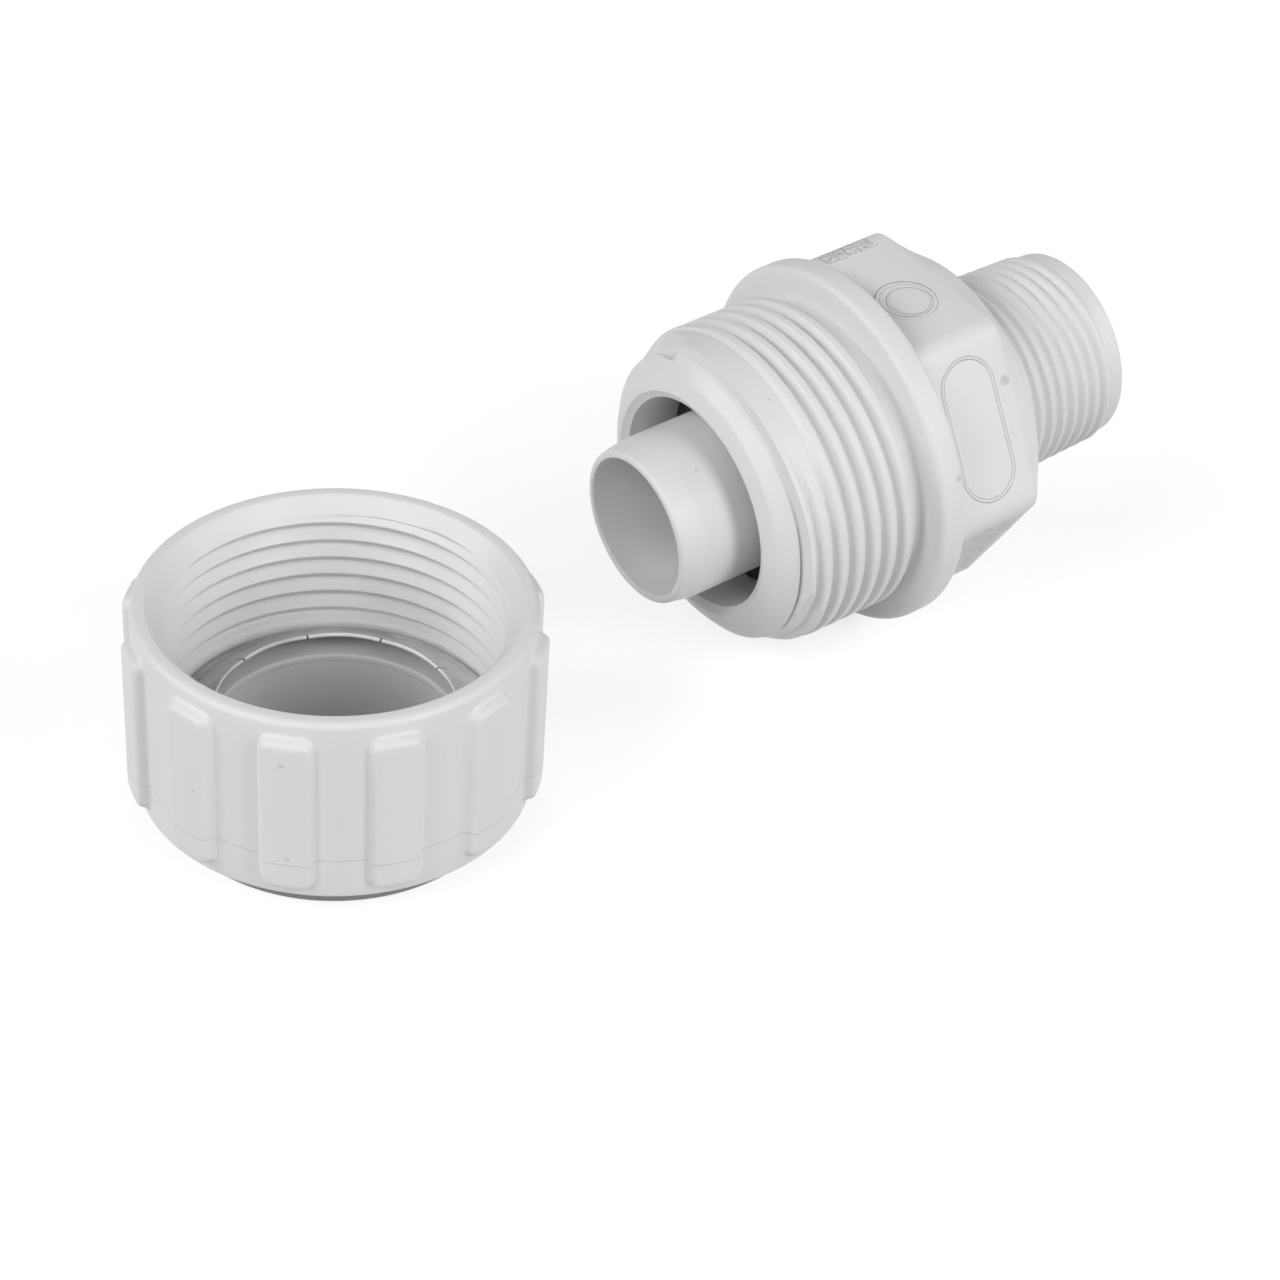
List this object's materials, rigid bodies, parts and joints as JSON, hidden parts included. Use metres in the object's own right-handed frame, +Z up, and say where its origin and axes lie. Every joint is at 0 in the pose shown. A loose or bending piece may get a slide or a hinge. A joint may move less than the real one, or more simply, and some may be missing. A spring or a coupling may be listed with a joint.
{
  "type": "compression pipe adapter",
  "caption": "White moulded adapter from a plain pipe end to a tapered male pipe thread, with its ribbed compression nut taken off and standing beside it.",
  "frame": {"origin": "centre of the nut's pipe bore at its foot, on the surface that the parts lie on", "axes": "+Z up along the nut's axis, +X the plan direction of the body's axis from the socket to the pipe thread"},
  "size_m": [0.1407, 0.0515, 0.0486],
  "materials": {
    "body": "satin moulded white",
    "seal": "matt black rubber",
    "nut": "satin moulded white",
    "grab_ring": "pressed stainless sheet"
  },
  "bodies": {
    "root": {"body": "body", "stem": "body", "seal": "seal", "nut": "nut", "grab_ring": "grab_ring"}
  },
  "joints": []
}
